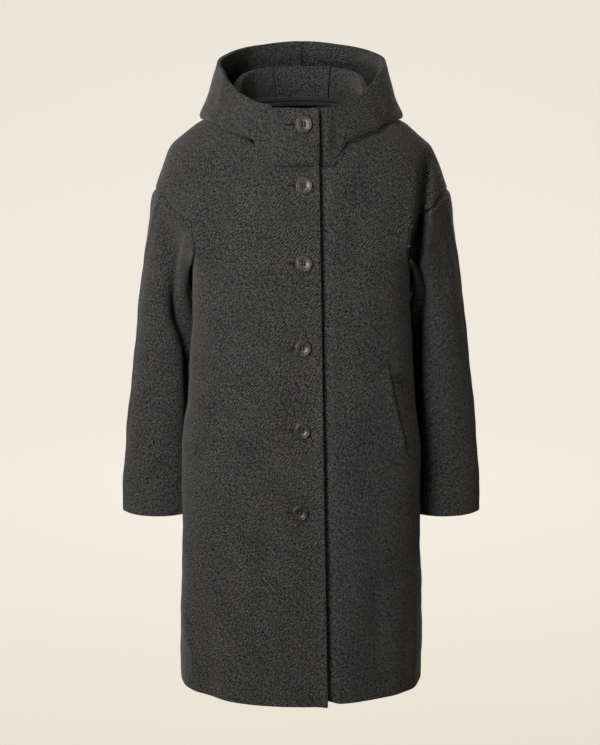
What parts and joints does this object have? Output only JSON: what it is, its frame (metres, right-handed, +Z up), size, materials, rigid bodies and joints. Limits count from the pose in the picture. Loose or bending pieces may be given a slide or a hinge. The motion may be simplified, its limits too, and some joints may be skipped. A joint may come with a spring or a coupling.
{
  "type": "hooded coat",
  "caption": "Knee-length hooded wool coat, buttoned down the front, with drop-shoulder sleeves and slanted welt pockets, hollow as worn with the hood down.",
  "frame": {"origin": "middle of the neck at the height of the neck points, where the coat is held on the wearer's shoulders", "axes": "+Z up the body, -Y out of the front, +X to the wearer's left"},
  "size_m": [0.586, 0.3148, 1.026],
  "materials": {
    "charcoal_wool": "brushed broken twill, matt",
    "horn": "polished horn-like resin"
  },
  "bodies": {
    "root": {"front_right": "charcoal_wool", "front_left": "charcoal_wool", "back": "charcoal_wool", "sleeve_right_front": "charcoal_wool", "sleeve_right_back": "charcoal_wool", "sleeve_left_front": "charcoal_wool", "sleeve_left_back": "charcoal_wool", "hood_right": "charcoal_wool", "hood_left": "charcoal_wool", "hood_stand": "charcoal_wool", "welt_right": "charcoal_wool", "welt_left": "charcoal_wool", "button_1": "horn", "button_2": "horn", "button_3": "horn", "button_4": "horn", "button_5": "horn", "button_6": "horn"}
  },
  "joints": []
}
